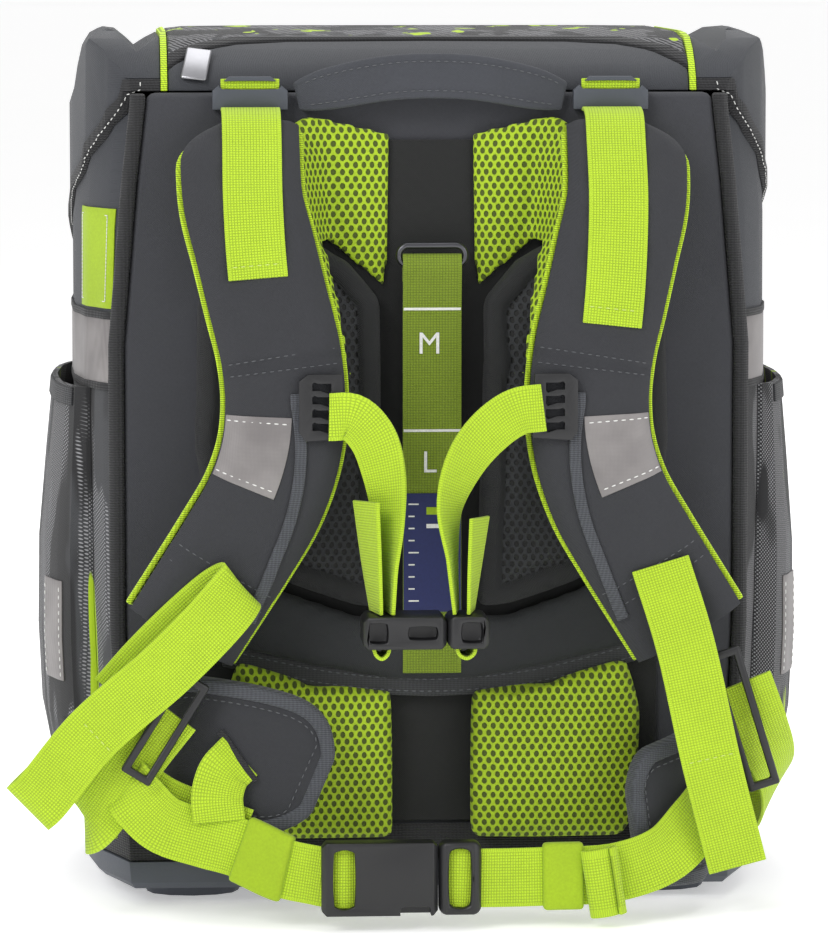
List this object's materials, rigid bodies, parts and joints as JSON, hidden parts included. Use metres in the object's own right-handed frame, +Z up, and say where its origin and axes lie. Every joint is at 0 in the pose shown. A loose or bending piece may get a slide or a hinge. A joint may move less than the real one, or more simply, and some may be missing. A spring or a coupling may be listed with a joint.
{
  "type": "school ransel",
  "caption": "Stiff school bag seen from its harness side, with padded straps, chest strap, hip belt, lumbar pads, side pockets and a moulded base.",
  "frame": {"origin": "middle of the underside of the object's box, on the floor that its feet stand on", "axes": "+Z up, the harness faces -Y, the front flap faces +Y"},
  "size_m": [0.3502, 0.285, 0.377],
  "materials": {
    "fabric_grey": "dense woven polyester, matt",
    "fabric_dark": "dark woven fabric over foam",
    "fabric_print": null,
    "ribbon_black": "ribbed tape",
    "mesh_black": "black air mesh over foam",
    "mesh_lime": "lime air mesh",
    "piping_lime": "lime piping",
    "webbing_grey": "grey covered handle, stitched",
    "webbing_lime": "lime webbing",
    "plastic_grey": "moulded plastic, fine grain",
    "plastic_black": "moulded plastic, satin",
    "metal_silver": "plated metal"
  },
  "bodies": {
    "root": {"case_shell": "fabric_print", "back_panel": "fabric_dark", "base_tray": "plastic_grey", "base_tape": "ribbon_black", "lid_top": "fabric_print", "lid_back_strip": "fabric_grey", "zip_chain": "ribbon_black", "zip_puller": "metal_silver", "front_clasp": "metal_silver", "carrier_panel": "fabric_dark", "lumbar_band": "fabric_dark", "height_webbing": "webbing_lime", "height_ring": "metal_silver", "carry_handle": "webbing_grey", "lid_piping_left": "piping_lime", "lid_piping_right": "piping_lime", "lid_side_left": "fabric_grey", "lid_side_right": "fabric_grey", "lid_binding_left": "ribbon_black", "lid_binding_right": "ribbon_black", "edge_binding_left": "ribbon_black", "edge_binding_right": "ribbon_black", "side_pocket_left": "fabric_print", "side_pocket_right": "fabric_print", "mid_pad_left": "mesh_black", "mid_pad_right": "mesh_black", "lumbar_pad_left": "mesh_lime", "lumbar_pad_right": "mesh_lime", "shoulder_strap_left": "fabric_grey", "shoulder_strap_right": "fabric_grey", "strap_lining_left": "mesh_lime", "strap_lining_right": "mesh_lime", "strap_root_left": "mesh_lime", "strap_root_right": "mesh_lime", "slider_left": "plastic_black", "slider_right": "plastic_black", "lifter_webbing_left": "webbing_lime", "lifter_webbing_right": "webbing_lime", "lifter_buckle_left": "plastic_grey", "lifter_buckle_right": "plastic_grey", "chest_webbing_left": "webbing_lime", "chest_webbing_right": "webbing_lime", "chest_buckle_socket": "plastic_black", "chest_buckle_plug": "plastic_black", "lower_webbing_left": "webbing_lime", "lower_webbing_right": "webbing_lime", "anchor_webbing_left": "webbing_lime", "anchor_webbing_right": "webbing_lime", "ladder_buckle_left": "plastic_black", "ladder_buckle_right": "plastic_black", "hip_fin_left": "fabric_dark", "hip_fin_right": "fabric_dark", "hip_belt_left": "webbing_lime", "hip_belt_right": "webbing_lime", "belt_keeper_left": "webbing_lime", "belt_keeper_right": "webbing_lime", "hip_buckle_socket": "plastic_black", "hip_buckle_plug": "plastic_black"}
  },
  "joints": []
}
